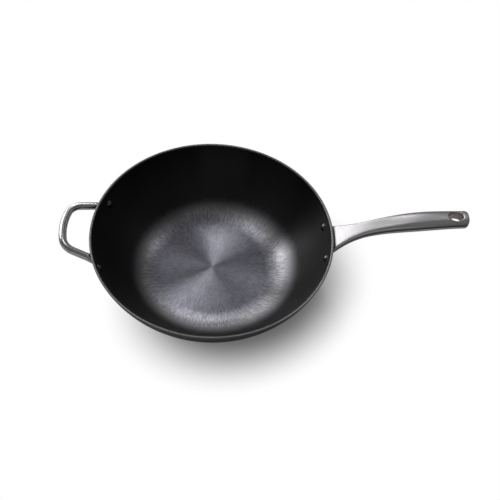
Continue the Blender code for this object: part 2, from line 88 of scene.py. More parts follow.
class WokPanSettings(bpy.types.PropertyGroup):
    rim_radius: metres("Rim Radius", "Outer radius of the rim", 0.160)
    inner_depth: metres("Inner Depth", "Height of the rim above the inner floor", 0.0825)
    wall: metres("Wall", "Thickness of the wall", 0.003)
    base_thickness: metres("Base", "Thickness of the floor", 0.004)
    flat_radius: metres("Flat Radius", "Radius of the flat inner floor", 0.075)
    corner_radius: metres("Corner Radius", "Radius between floor and wall", 0.048)
    rim_slope: degrees("Rim Slope", "Slope of the wall at the rim", 77.5)
    rim_rounding: metres("Rim Rounding", "Rounding of the rim's edges", 0.0012)
    foot_margin: metres("Foot Margin", "How far the foot is wider than the inner floor", 0.004)
    foot_chamfer: metres("Foot Chamfer", "Bevel round the foot", 0.0005)
    polish_radius: metres("Polish Radius", "Radius out to which the turned iron is bright", 0.1055)
    floor_crown: metres("Floor Crown", "How much the turning crowns the floor's shine", 0.0018)
    wall_colour: rgb("Wall Colour", "Seasoned iron of the inner wall", (0.021, 0.0206, 0.021))
    floor_colour: rgb("Floor Colour", "Turned iron of the floor", (0.195, 0.195, 0.226))
    polish_colour: rgb("Polish Colour", "Turned iron round the floor", (0.33, 0.327, 0.342))
    groove_colour: rgb("Groove Colour", "Iron in the turned grooves", (0.085, 0.085, 0.108))
    outside_colour: rgb("Outside Colour", "Seasoned iron outside", (0.017, 0.0166, 0.017))
    rim_colour: rgb("Rim Colour", "Ground iron of the rim", (0.19, 0.187, 0.187))


class WokRivetSettings(bpy.types.PropertyGroup):
    depth: metres("Depth", "How far below the rim the rivets sit", 0.0165)
    shank_radius: metres("Shank Radius", "Radius of the shank", 0.0027)
    head_radius: metres("Head Radius", "Radius of the domed head", 0.0052)
    head_height: metres("Head Height", "Height of the domed head", 0.0029)
    tail_radius: metres("Tail Radius", "Radius of the flat tail", 0.0044)
    tail_height: metres("Tail Height", "Height of the flat tail", 0.0012)
    handle_angle: degrees("Handle Angle", "Angle of the long handle's rivets from the handle", 9.9)
    helper_angle: degrees("Helper Angle", "Angle of the helper's rivets from the helper", 20.4)
    colour: rgb("Colour", "Blackened steel of the rivets", (0.075, 0.075, 0.079))


class WokHandleSettings(bpy.types.PropertyGroup):
    length: metres("Length", "Reach of the handle beyond the rim", 0.1659)
    sheet: metres("Sheet", "Thickness of the two shells", 0.0015)
    seam_drop: metres("Seam Drop", "Seam below the rim's plane, at the rim", 0.0093)
    seam_rise: metres("Seam Rise", "Seam above the rim's plane, at the end", 0.0440)
    flare_width: metres("Flare Width", "Width where the handle meets the pan", 0.040)
    neck_width: metres("Neck Width", "Width at the narrowest place", 0.0203)
    neck_reach: metres("Neck Reach", "Distance of the neck from the rim", 0.042)
    grip_width: metres("Grip Width", "Width of the grip", 0.0258)
    grip_reach: metres("Grip Reach", "Distance of the widest grip from the rim", 0.105)
    end_width: metres("End Width", "Width at the end", 0.0231)
    end_corner: metres("End Corner", "Radius of the end's corners seen from above", 0.0055)
    end_edge: metres("End Edge", "Radius of the end's edges seen from the side", 0.0025)
    eye_from_end: metres("Eye Place", "Distance of the hanging eye's middle from the end", 0.0158)
    eye_length: metres("Eye Length", "Inner length of the hanging eye", 0.0172)
    eye_width: metres("Eye Width", "Inner width of the hanging eye", 0.0128)
    eye_funnel: metres("Eye Funnel", "Width of the eye's rolled edge", 0.0026)
    plate: metres("Plate", "Thickness of the mounting plate", 0.0022)
    colour: rgb("Colour", "Satin steel of the long handle", (0.39, 0.38, 0.39))
    # The eye's steel is darker and browner than the handle's: painted shade standing in for the
    # shadow seen in the hole
    eye_colour_with_shade: rgb("Eye Colour", "Rolled steel of the hanging eye", (0.34, 0.315, 0.305))


class WokHelperSettings(bpy.types.PropertyGroup):
    rod_radius: metres("Rod Radius", "Radius of the bent rod", 0.0051)
    drop: metres("Drop", "Rod's middle below the rim's plane, at the rim", 0.0087)
    tilt: degrees("Tilt", "How much the loop rises as it leaves the pan", 15.3)
    reach: metres("Reach", "Distance of the rod's middle from the rim", 0.0337)
    half_spread: metres("Half Spread", "Half the distance between the feet", 0.0417)
    leg_angle: degrees("Leg Angle", "How much the legs close in", 15.2)
    corner_radius: metres("Corner Radius", "Radius of the two bends", 0.0205)
    bow_radius: metres("Bow Radius", "Radius of the outer bow", 0.094)
    pad: metres("Pad", "Thickness of the riveted pads", 0.0016)
    pad_height: metres("Pad Height", "Height of the riveted pads", 0.0175)
    pad_margin: metres("Pad Margin", "Pad beyond the rivet and beyond the rod", 0.009)
    colour: rgb("Colour", "Polished steel of the rod", (0.40, 0.395, 0.397))


class WokStageSettings(bpy.types.PropertyGroup):
    floor_size: metres("Floor Size", "Side of the floor", 12.0)
    floor_colour: rgb("Floor Colour", "Pale floor", (0.92, 0.92, 0.92))
    shade_start: metres("Shade Start", "Radius out to which the floor keeps its shadow", 0.083)
    shade_end: metres("Shade End", "Radius from which the floor is plain white", 0.166)
    shaded_white: factor("Shaded White", "Share of white mixed into the shadow", 0.10)
    mirrored_white: factor("Mirrored White", "Share of the plain white that metal shows", 0.18)
    room_light: factor("Room Light", "Strength of the light from all round", 0.03)
    camera_distance: metres("Camera Distance", "Distance from the rim's middle", 0.9049)
    camera_height: degrees("Camera Height", "Angle of the camera above the floor", 53.71)
    camera_turn: degrees("Camera Turn", "Turn of the pan under the camera", 4.13)
    camera_roll: degrees("Camera Roll", "Roll of the camera", -5.34)


def settings(name):
    return getattr(bpy.context.scene, name)


# Shapes


def spread(first, last, count):
    """Even values from first to last, count steps apart."""
    return [first + (last - first) * i / count for i in range(count + 1)]


def hermite(x, start, end, start_slope=0.0, end_slope=0.0):
    """Smooth curve from the point start to the point end, each an (x, value) pair."""
    span = end[0] - start[0]
    t = (x - start[0]) / span
    return (
        start[1] * (2 * t**3 - 3 * t**2 + 1)
        + start_slope * span * (t**3 - 2 * t**2 + t)
        + end[1] * (3 * t**2 - 2 * t**3)
        + end_slope * span * (t**3 - t**2)
    )


def solve(value, low, high):
    """Place between low and high where a rising function crosses zero."""
    for _ in range(SOLVE_STEPS):
        middle = (low + high) / 2
        if value(middle) < 0:
            low = middle
        else:
            high = middle
    return (low + high) / 2


class PanWall:
    """Radial section of the pan: a flat floor, a corner arc and a longer wall arc up to the rim."""

    def __init__(self):
        pan = settings("wok_pan")
        self.wall = pan.wall
        self.corner = pan.corner_radius
        self.rim_height = pan.base_thickness + pan.inner_depth
        self.rim_slope = pan.rim_slope
        self.corner_centre = Vector((pan.flat_radius, pan.base_thickness + pan.corner_radius))
        inner_rim = Vector((pan.rim_radius - pan.wall / sin(pan.rim_slope), self.rim_height))
        outward = Vector((sin(pan.rim_slope), -cos(pan.rim_slope)))
        across = inner_rim - self.corner_centre
        reach = across.length_squared - pan.corner_radius**2
        self.radius = reach / (2 * (across.dot(outward) - pan.corner_radius))
        self.centre = inner_rim - self.radius * outward
        join = self.corner_centre - self.centre
        self.join_slope = atan2(join.x, -join.y)

    def point(self, slope, offset):
        """Point where the section has this slope, offset outwards from the inner face."""
        outward = Vector((sin(slope), -cos(slope)))
        if slope < self.join_slope:
            return self.corner_centre + (self.corner + offset) * outward
        return self.centre + (self.radius + offset) * outward

    def slope_at(self, drop, offset):
        """Slope of the upper arc at a drop below the rim's plane."""
        return acos((self.centre.y - self.rim_height + drop) / (self.radius + offset))

    def offset_of(self, place):
        """Distance of a place from the inner face of the wall, outwards."""
        return hypot(hypot(place.x, place.y) - self.centre.x, place.z - self.centre.y) - self.radius

    def frame(self, angle, drop):
        """Placement on the inner face of the wall, at an angle round the pan.

        X runs sideways, Y up the wall and Z to the inside.
        """
        slope = self.slope_at(drop, 0)
        radius, height = self.point(slope, 0)
        inward = Vector((-sin(slope), 0, cos(slope)))
        upward = Vector((cos(slope), 0, sin(slope)))
        turn = Matrix((upward.cross(inward), upward, inward)).transposed().to_4x4()
        return Matrix.Rotation(angle, 4, "Z") @ Matrix.Translation((radius, 0, height)) @ turn


def verts_of(geom):
    return [item for item in geom if isinstance(item, bmesh.types.BMVert)]


def edges_of(geom):
    return [item for item in geom if isinstance(item, bmesh.types.BMEdge)]


def mesh_of(bm, name):
    """Mesh with the shape of a bmesh, which is freed."""
    mesh = bpy.data.meshes.new(name)
    bm.to_mesh(mesh)
    bm.free()
    return mesh


def add_object(name, data):
    """Put a mesh, a lamp or a camera into the scene."""
    added = bpy.data.objects.new(name, data)
    bpy.context.scene.collection.objects.link(added)
    return added


def finish_piece(name, bm, materials, slot, *nodes):
    """Turn a bmesh into a piece that rides on the pan's body and stands for CAD nodes."""
    mesh = mesh_of(bm, name)
    mesh.shade_smooth()
    mesh.set_sharp_from_angle(angle=SHARP_ANGLE)
    for material in materials:
        mesh.materials.append(material)
    piece = add_object(name, mesh)
    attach(piece, "root")
    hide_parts(*nodes)
    return piece


def spin_section(points, steps):
    """Turn a section of (radius, height) points round Z into a closed body."""
    bm = bmesh.new()
    verts = [bm.verts.new((radius, 0, height)) for radius, height in points]
    edges = [bm.edges.new(pair) for pair in zip(verts, verts[1:])]
    bmesh.ops.spin(
        bm, geom=verts + edges, axis=(0, 0, 1), angle=2 * pi, steps=steps, use_merge=True
    )
    bmesh.ops.remove_doubles(bm, verts=bm.verts, dist=MERGE_DISTANCE)
    bmesh.ops.recalc_face_normals(bm, faces=bm.faces)
    return bm


def bevel(bm, geom, affect, width, segments):
    """Round off edges, or the corners of a flat outline where affect is VERTICES."""
    bmesh.ops.bevel(
        bm, geom=geom, affect=affect, offset=width, segments=segments, profile=0.5, material=-1
    )


PLATE_SPACING = 0.004
# Bevel round a plate's outer face, as a share of its thickness
PLATE_BEVEL = 0.35
PLATE_BEVEL_STEPS = 3
# Largest Z of a face's normal at a plate's sides
SIDE_NORMAL = 0.5


def bend_plate(bm, wall, angle, thickness):
    """Slice a flat outline, give it a thickness and lay it on the outside of the pan's wall.

    The outline lies in the plane of X, sideways, and Y, minus the drop below the rim.
    """
    for axis in (Vector((1, 0, 0)), Vector((0, 1, 0))):
        places = [vert.co.dot(axis) for vert in bm.verts]
        count = int((max(places) - min(places)) / PLATE_SPACING)
        for place in spread(min(places), max(places), count)[1:-1]:
            geom = bm.verts[:] + bm.edges[:] + bm.faces[:]
            bmesh.ops.bisect_plane(
                bm, geom=geom, dist=MERGE_DISTANCE, plane_co=place * axis, plane_no=axis
            )
    made = bmesh.ops.extrude_face_region(bm, geom=bm.faces[:], use_keep_orig=True)
    bmesh.ops.translate(bm, verts=verts_of(made["geom"]), vec=(0, 0, thickness))
    bmesh.ops.recalc_face_normals(bm, faces=bm.faces)
    outer = [edge for edge in bm.edges if is_top_border(edge, thickness)]
    bevel(bm, outer, "EDGES", thickness * PLATE_BEVEL, PLATE_BEVEL_STEPS)
    radius = settings("wok_pan").rim_radius
    for vert in bm.verts:
        sideways, up, out = vert.co
        place = wall.point(wall.slope_at(-up, wall.wall), wall.wall + out)
        turn = angle + sideways / radius
        vert.co = Vector((place.x * cos(turn), place.x * sin(turn), place.y))
    bmesh.ops.recalc_face_normals(bm, faces=bm.faces)


def is_top_border(edge, thickness):
    """True for the edges round a plate's outer face."""
    on_top = all(abs(vert.co.z - thickness) < MERGE_DISTANCE for vert in edge.verts)
    return on_top and any(abs(face.normal.z) < SIDE_NORMAL for face in edge.link_faces)


# Material helpers


class NodeMaker:
    """Adds shader nodes to a tree and joins them."""

    def __init__(self, tree):
        self.tree = tree

    def add(self, kind, inputs=(), **values):
        """Shader node of a kind, with its own values and with its inputs by name or number."""
        node = self.tree.nodes.new("ShaderNode" + kind)
        for name, value in values.items():
            setattr(node, name, value)
        self.feed(node, inputs)
        return node

    def feed(self, node, inputs):
        """Join a node's inputs to other sockets, or set them to plain values."""
        for key, value in dict(inputs).items():
            if isinstance(value, bpy.types.NodeSocket):
                self.tree.links.new(value, node.inputs[key])
            else:
                node.inputs[key].default_value = value

    def group(self, name, vector):
        """Outputs of a node group that is laid on coordinates."""
        tree = bpy.data.node_groups[name]
        return self.add("Group", {"Vector": vector}, node_tree=tree).outputs

    def math(self, operation, first, second):
        return self.add("Math", {0: first, 1: second}, operation=operation).outputs[0]

    def plus(self, first, second):
        return self.math("ADD", first, second)

    def times(self, first, second):
        return self.math("MULTIPLY", first, second)

    def length(self, vector):
        return self.add("VectorMath", {0: vector}, operation="LENGTH").outputs["Value"]

    def separate(self, vector):
        return self.add("SeparateXYZ", {0: vector}).outputs

    def combine(self, x, y, z):
        return self.add("CombineXYZ", {0: x, 1: y, 2: z}).outputs[0]

    def fade(self, value, low, high, start=0.0, end=1.0):
        """Smooth step: start at and below low, end at and above high."""
        inputs = {"Value": value, "From Min": low, "From Max": high, "To Min": start, "To Max": end}
        return self.add("MapRange", inputs, interpolation_type="SMOOTHSTEP").outputs[0]

    def within(self, value, edge, border):
        """1 below an edge and 0 above it, with a soft border to both sides."""
        return self.fade(value, edge - border, edge + border, 1.0, 0.0)

    def scaled(self, value, start, end):
        """A value of 0 to 1 laid out between start and end."""
        return self.add("MapRange", {"Value": value, "To Min": start, "To Max": end}).outputs[0]

    def mix(self, share, first, second, blend="MIX"):
        """Colour between two colours, each of them a socket or red, green and blue."""
        inputs = {0: share}
        for index, value in ((6, first), (7, second)):
            is_socket = isinstance(value, bpy.types.NodeSocket)
            inputs[index] = value if is_socket else (*value, 1.0)
        return self.add("Mix", inputs, data_type="RGBA", blend_type=blend).outputs[2]

    def noise(self, vector, scale=1.0, detail=2.0, roughness=0.5):
        inputs = {"Vector": vector, "Scale": scale, "Detail": detail, "Roughness": roughness}
        return self.add("TexNoise", inputs).outputs[0]

    def mapping(self, vector, scale, location=(0, 0, 0), rotation=(0, 0, 0), kind="POINT"):
        inputs = {"Vector": vector, "Location": location, "Rotation": rotation, "Scale": scale}
        return self.add("Mapping", inputs, vector_type=kind).outputs[0]

    def bump(self, height, strength, distance, normal=None):
        inputs = {"Height": height, "Strength": strength, "Distance": distance}
        if normal:
            inputs["Normal"] = normal
        return self.add("Bump", inputs).outputs[0]


def new_group(name, values, outputs):
    """Shader node group that reads a vector and values, and puts out values.

    Gives its maker, its inputs and the node that its outputs are fed to.
    """
    tree = bpy.data.node_groups.new(name, "ShaderNodeTree")
    new_socket = tree.interface.new_socket
    new_socket("Vector", in_out="INPUT", socket_type="NodeSocketVector")
    for socket, default in values.items():
        made = new_socket(socket, in_out="INPUT", socket_type="NodeSocketFloat")
        made.default_value = default
    for socket in outputs:
        new_socket(socket, in_out="OUTPUT", socket_type="NodeSocketFloat")
    given = tree.nodes.new("NodeGroupInput").outputs
    return NodeMaker(tree), given, tree.nodes.new("NodeGroupOutput")


def new_material(name):
    """Material with one Principled shader. Gives it, its maker, the shader and coordinates."""
    material = bpy.data.materials.new(name)
    material.use_nodes = True
    maker = NodeMaker(material.node_tree)
    shader = material.node_tree.nodes["Principled BSDF"]
    return material, maker, shader, maker.add("TexCoord").outputs["Object"]


def build_turning_group():
    """Marks of a lathe round Z: rings, and short fibres that point away from the axis."""
    maker, given, out = new_group(
        "turning marks",
        {"Ring Scale": 700.0, "Fibre Count": 76.0, "Fibre Length": 0.008},
        ("Radius", "Rings", "Fine Rings", "Fibres"),
    )
    x, y, _ = maker.separate(given["Vector"])
    flat = maker.combine(x, y, 0.0)
    radius = maker.length(flat)
    heading = maker.add("VectorMath", {0: flat}, operation="NORMALIZE").outputs[0]
    x_share, y_share, _ = maker.separate(heading)

    def polar(turns, along):
        """Coordinates that change with the direction from the axis and with the radius."""
        x, y = maker.times(x_share, turns), maker.times(y_share, turns)
        return maker.combine(x, y, maker.times(radius, along))

    rings, count = given["Ring Scale"], given["Fibre Count"]
    along = maker.math("DIVIDE", 1.0, given["Fibre Length"])
    coarse = maker.noise(polar(count, along), detail=2.0, roughness=0.6)
    close = maker.noise(polar(maker.times(count, 2.3), maker.times(along, 1.6)), detail=1.0)
    fibres = maker.plus(maker.times(coarse, 0.55), maker.times(close, 0.45))
    maker.feed(out, {
        "Radius": radius,
        "Rings": maker.noise(polar(1.2, rings), detail=3.0, roughness=0.6),
        "Fine Rings": maker.noise(polar(2.5, maker.times(rings, 5.0)), detail=1.0),
        "Fibres": maker.fade(fibres, 0.36, 0.64),
    })


def build_cast_group():
    """Grain of sand-cast iron under baked oil: fine pits on soft swells."""
    maker, given, out = new_group(
        "cast grain", {"Grain Size": 0.0007}, ("Height", "Pits", "Swells")
    )
    scale = maker.math("DIVIDE", 1.0, given["Grain Size"])
    fine = maker.noise(given["Vector"], scale, detail=3.0, roughness=0.55)
    pits = maker.fade(fine, 0.40, 0.62)
    swells = maker.noise(given["Vector"], maker.times(scale, 0.06))
    height = maker.plus(maker.times(pits, 0.7), maker.times(swells, 0.3))
    maker.feed(out, {"Height": height, "Pits": pits, "Swells": swells})


def build_brush_group():
    """Fine drawn lines and sparse scratches, which follow the stretch of the coordinates."""
    maker, given, out = new_group(
        "brushed lines", {"Line Width": 0.0004}, ("Lines", "Scratches")
    )
    scale = maker.math("DIVIDE", 1.0, given["Line Width"])
    sparse = maker.noise(given["Vector"], maker.times(scale, 0.35), detail=1.0, roughness=0.4)
    maker.feed(out, {
        "Lines": maker.noise(given["Vector"], scale, detail=3.0, roughness=0.65),
        "Scratches": maker.fade(sparse, 0.62, 0.72),
    })


def build_handling_group():
    """Soft smears and small marks that handling leaves on metal."""
    maker, given, out = new_group("handling marks", {}, ("Smears", "Specks"))
    small = maker.noise(given["Vector"], 900.0, detail=1.0)
    maker.feed(out, {
        "Smears": maker.noise(given["Vector"], 45.0, detail=4.0, roughness=0.62),
        "Specks": maker.fade(small, 0.66, 0.74),
    })


# The bright zone's place and how its edge frays and fades, and the fades at the flat floor
POLISH_PLACE = (-0.0045, 0.0028, 0.0)
FRAY = 0.0025
POLISH_FADE = 0.013
FLOOR_FADE = 0.002
RING_FADE = 0.026
# Heights between which the outside is worn at the foot
FOOT_WEAR = (0.0004, 0.0014)
# Turn of the anisotropic shine for grooves that run round the axis
ROUND_GROOVES = 0.25
# Depths of the reliefs, which each bump then takes a share of
GRAIN_DEPTH = 0.0003
ROUGH_GRAIN_DEPTH = 0.0005
RING_DEPTH = 0.0003
FIBRE_DEPTH = 0.0004
LINE_DEPTH = 0.0002
SPECK_DEPTH = 0.0001
# Colours that the iron's and the steel's own colours are mixed with
WALL_PITS = (0.03, 0.03, 0.031)
FIBRE_SHADES = ((0.52, 0.52, 0.54), (1.44, 1.43, 1.41))
OUTSIDE_SWELLS = (0.027, 0.026, 0.026)
OUTSIDE_PITS = (0.008, 0.008, 0.009)
WORN_FOOT = (0.085, 0.083, 0.082)
RIM_GROOVES = (0.07, 0.068, 0.068)
RIM_SWELLS = (0.09, 0.088, 0.088)
RUBBED_RIVET = (0.10, 0.098, 0.096)
# Dirt in the handle's seam, and painted shade along it and up the side above it
SEAM_GRIME_AND_SHADE = (0.05, 0.048, 0.05)


def build_inside_iron():
    """Turned iron inside the pan: bright floor and corner, black seasoned wall."""
    pan = settings("wok_pan")
    material, maker, shader, place = new_material("turned iron")
    radius, rings, fine, fibres = maker.group("turning marks", place)
    grain, pits, _ = maker.group("cast grain", place)
    smears, _ = maker.group("handling marks", place)

    wiped = maker.length(maker.mapping(place, (1.0, 1.0, 0.0), POLISH_PLACE))
    frayed = maker.plus(wiped, maker.scaled(fibres, -FRAY, FRAY))
    polished = maker.within(frayed, pan.polish_radius, POLISH_FADE)
    floor = maker.within(radius, pan.flat_radius, FLOOR_FADE)
    ring = maker.fade(radius, pan.flat_radius - FLOOR_FADE, pan.flat_radius + RING_FADE)

    wall = maker.mix(maker.scaled(pits, 0.25, 0.0), pan.wall_colour, WALL_PITS)
    bright = maker.mix(ring, pan.floor_colour, pan.polish_colour)
    shade = maker.mix(fibres, *FIBRE_SHADES)
    streaks = maker.mix(1.0, bright, shade, "MULTIPLY")
    streaked = maker.mix(maker.scaled(floor, 1.0, 0.8), bright, streaks)
    turned = maker.mix(maker.scaled(rings, 0.0, 0.5), streaked, pan.groove_colour)

    shine = maker.plus(maker.scaled(fine, 0.27, 0.34), maker.scaled(smears, -0.03, 0.04))
    rough = maker.plus(maker.scaled(pits, 0.31, 0.41), maker.scaled(rings, -0.03, 0.03))
    roughness = maker.add("Mix", {0: polished, 2: rough, 3: shine}, data_type="FLOAT").outputs[0]

    share = maker.math("DIVIDE", radius, pan.flat_radius)
    dome = maker.math("SUBTRACT", 1.0, maker.times(share, share))
    crowned = maker.bump(maker.math("MAXIMUM", dome, 0.0), 1.0, pan.floor_crown)
    grooves = maker.bump(maker.plus(rings, maker.times(fine, 0.5)), 0.10, RING_DEPTH, crowned)
    ridges = maker.bump(fibres, 0.02, FIBRE_DEPTH, grooves)
    maker.feed(shader, {
        "Base Color": maker.mix(polished, wall, turned),
        "Roughness": roughness,
        "Metallic": 1.0,
        "Anisotropic": 0.95,
        "Anisotropic Rotation": ROUND_GROOVES,
        "Normal": maker.bump(grain, 0.03, GRAIN_DEPTH, ridges),
    })
    return material


def build_outside_iron():
    """Seasoned casting outside the pan, worn grey at the foot."""
    material, maker, shader, place = new_material("seasoned cast iron")
    grain, pits, swells = maker.group("cast grain", place)
    smears, _ = maker.group("handling marks", place)
    seasoned = maker.mix(swells, settings("wok_pan").outside_colour, OUTSIDE_SWELLS)
    pitted = maker.mix(maker.scaled(pits, 0.35, 0.0), seasoned, OUTSIDE_PITS)
    foot = maker.fade(maker.separate(place)[2], *FOOT_WEAR, 1.0, 0.0)
    maker.feed(shader, {
        "Base Color": maker.mix(maker.times(foot, 0.6), pitted, WORN_FOOT),
        "Roughness": maker.plus(maker.scaled(pits, 0.62, 0.50), maker.scaled(smears, -0.06, 0.06)),
        "Metallic": 0.35,
        "Normal": maker.bump(grain, 0.45, ROUGH_GRAIN_DEPTH),
    })
    return material


def build_rim_iron():
    """Ground and lightly oiled iron on top of the rim."""
    material, maker, shader, place = new_material("ground rim iron")
    fine = maker.group("turning marks", place)["Fine Rings"]
    grain, pits, swells = maker.group("cast grain", place)
    colour = settings("wok_pan").rim_colour
    ground = maker.mix(maker.scaled(fine, 0.0, 0.5), colour, RIM_GROOVES)
    maker.feed(shader, {
        "Base Color": maker.mix(maker.scaled(swells, 0.0, 0.5), ground, RIM_SWELLS),
        "Roughness": maker.scaled(pits, 0.44, 0.34),
        "Metallic": 1.0,
        "Anisotropic": 0.8,
        "Anisotropic Rotation": ROUND_GROOVES,
        "Normal": maker.bump(grain, 0.15, GRAIN_DEPTH),
    })
    return material


def build_steel(name, colour, line_scale, roughness, anisotropy=0.0, relief=0.0):
    """Drawn or polished steel, darkened along the handle's seam: dirt and painted shade in the
    seam's lips, and painted shade fading up the side above it.

    line_scale stretches its fine lines along the piece, and roughness is their range.
    """
    material, maker, shader, place = new_material(name)
    lines, scratches = maker.group("brushed lines", maker.mapping(place, line_scale))
    smears, specks = maker.group("handling marks", place)
    darker = [0.80 * value for value in colour]
    brighter = [1.4 * value for value in colour]
    drawn = maker.mix(maker.scaled(lines, 0.0, 0.35), colour, darker)
    scratched = maker.mix(maker.times(scratches, 0.15), drawn, brighter)
    handled = maker.mix(maker.scaled(smears, 0.0, 0.25), scratched, darker)
    # Darkening along the seam: dirt in the joint, and painted shade
    grime_and_shade = maker.add("Attribute", attribute_name="seam").outputs["Fac"]
    drawn_lines = maker.bump(lines, relief, LINE_DEPTH)
    maker.feed(shader, {
        "Base Color": maker.mix(grime_and_shade, handled, SEAM_GRIME_AND_SHADE),
        "Roughness": maker.plus(maker.scaled(lines, *roughness), maker.scaled(smears, -0.03, 0.05)),
        "Metallic": 1.0,
        "Anisotropic": anisotropy,
        "Normal": maker.bump(specks, relief, SPECK_DEPTH, drawn_lines),
    })
    return material


def build_rivet_steel():
    """Blackened steel of the rivets, rubbed unevenly."""
    material, maker, shader, place = new_material("blackened rivet steel")
    grain, pits, _ = maker.group("cast grain", place)
    smears, _ = maker.group("handling marks", place)
    rubbed = maker.scaled(smears, 0.0, 0.5)
    maker.feed(shader, {
        "Base Color": maker.mix(rubbed, settings("wok_rivet").colour, RUBBED_RIVET),
        "Roughness": maker.scaled(pits, 0.22, 0.14),
        "Metallic": 1.0,
        "Normal": maker.bump(grain, 0.06, GRAIN_DEPTH),
    })
    return material


# Long handle


# Slopes of the outline at the flare and of the seam at the neck and at the end
FLARE_TAPER = -0.95
NECK_SLOPE = 0.76
END_SLOPE = 0.10
# Height above and depth below the seam, at the flare, the grip and the end
CROWNS = (0.0060, 0.0080, 0.0070)
KEELS = (0.0066, 0.0090, 0.0084)
FLARE_SQUARENESS = 5.0
GRIP_SQUARENESS = 2.5
KEEL_SQUARENESS = 3.6
GROOVE_DEPTH = 0.0008
GROOVE_HALF_HEIGHT = 0.0010
SEAM_GAP = 0.0003
LIP_LEVELS = (0.0, 0.35, 0.7)
LIP_CURVE = 1.5
# Painted shade up the side of the upper shell above the seam: its strength and the heights over
# which it fades
GRIME_AND_SHADE_SHARE = 0.85
GRIME_AND_SHADE_SPAN = (0.0012, 0.0048)
START_SEARCH = 0.03
HANDLE_STEPS = 132
SECTION_STEPS = 52
END_STEPS = 12


class HandleShape:
    """Faces of the long handle. Reach runs outwards from the rim."""

    def __init__(self):
        self.handle = settings("wok_handle")
        self.rim_radius = settings("wok_pan").rim_radius
        self.wall = PanWall()
        self.rim_height = self.wall.rim_height

    def seam(self, reach):
        """Height of the seam above the plane of the rim."""
        start = (0, -self.handle.seam_drop)
        end = (self.handle.length, self.handle.seam_rise)
        return hermite(reach, start, end, NECK_SLOPE, END_SLOPE)

    def eased(self, reach, flare, grip, end):
        """A size that goes from the flare to the grip and on to the end."""
        handle = self.handle
        widest = (handle.grip_reach, grip)
        if reach < handle.grip_reach:
            return hermite(max(reach, 0), (0, flare), widest)
        return hermite(min(reach, handle.length), widest, (handle.length, end))

    def half_width(self, reach):
        handle = self.handle
        if reach < 0:
            return (handle.flare_width + FLARE_TAPER * reach) / 2
        neck = (handle.neck_reach, handle.neck_width)
        if reach < handle.neck_reach:
            return hermite(reach, (0, handle.flare_width), neck, FLARE_TAPER) / 2
        grip = (handle.grip_reach, handle.grip_width)
        if reach < handle.grip_reach:
            return hermite(reach, neck, grip) / 2
        return hermite(reach, grip, (handle.length, handle.end_width)) / 2

    def drawn_in(self, reach, radius):
        """How far a round corner of this radius draws in, near the end."""
        past = max(reach - (self.handle.length - radius), 0)
        return radius - sqrt(max(radius**2 - past**2, 0))

    def section(self, reach, side):
        """Half width, height and squareness above the seam, or below it where side is -1."""
        half_width = self.half_width(reach) - self.drawn_in(reach, self.handle.end_corner)
        sizes = CROWNS if side > 0 else KEELS
        height = self.eased(reach, *sizes) - self.drawn_in(reach, self.handle.end_edge)
        squareness = self.eased(reach, FLARE_SQUARENESS, GRIP_SQUARENESS, GRIP_SQUARENESS)
        return half_width, height, squareness if side > 0 else KEEL_SQUARENESS

    def place(self, reach, share, side):
        """Point of a shell's outer face. share runs from 0, at the seam on +Y, to 1 on -Y."""
        half_width, height, squareness = self.section(reach, side)
        start = atan2(GROOVE_HALF_HEIGHT, height)
        turn = start + (pi - 2 * start) * share
        size = (abs(cos(turn)) ** squareness + sin(turn) ** squareness) ** (-1 / squareness)
        across = half_width * size * cos(turn)
        up = self.seam(reach) + side * height * size * sin(turn)
        return Vector((self.rim_radius + reach, across, self.rim_height + up))

    def lip(self, reach, share, side, level):
        """Point of the drawn-in lip. level runs from 0, at the seam, to 1, at the face."""
        edge = self.place(reach, share, side)
        seam = self.rim_height + self.seam(reach) + side * SEAM_GAP / 2
        turn = level * pi / 2
        inset = GROOVE_DEPTH * (1 - sin(turn))
        across = edge.y - inset * (1 if share < 0.5 else -1)
        return Vector((edge.x, across, edge.z + (seam - edge.z) * cos(turn) ** LIP_CURVE))

    def face_height(self, reach, across, side):
        """Height of a shell's outer face over a point of the handle."""
        half_width, height, squareness = self.section(reach, side)
        left = max(1 - (abs(across) / half_width) ** squareness, 0)
        return self.rim_height + self.seam(reach) + side * height * left ** (1 / squareness)


def handle_stations(handle):
    """Shares of the handle's length where its sections stand, close together at the end."""
    end = handle.end_corner / handle.length
    straight = spread(0, 1 - end, HANDLE_STEPS)
    rounded = [1 - end * (1 - sin(turn)) for turn in spread(0, pi / 2, END_STEPS)]
    return straight + rounded[1:]


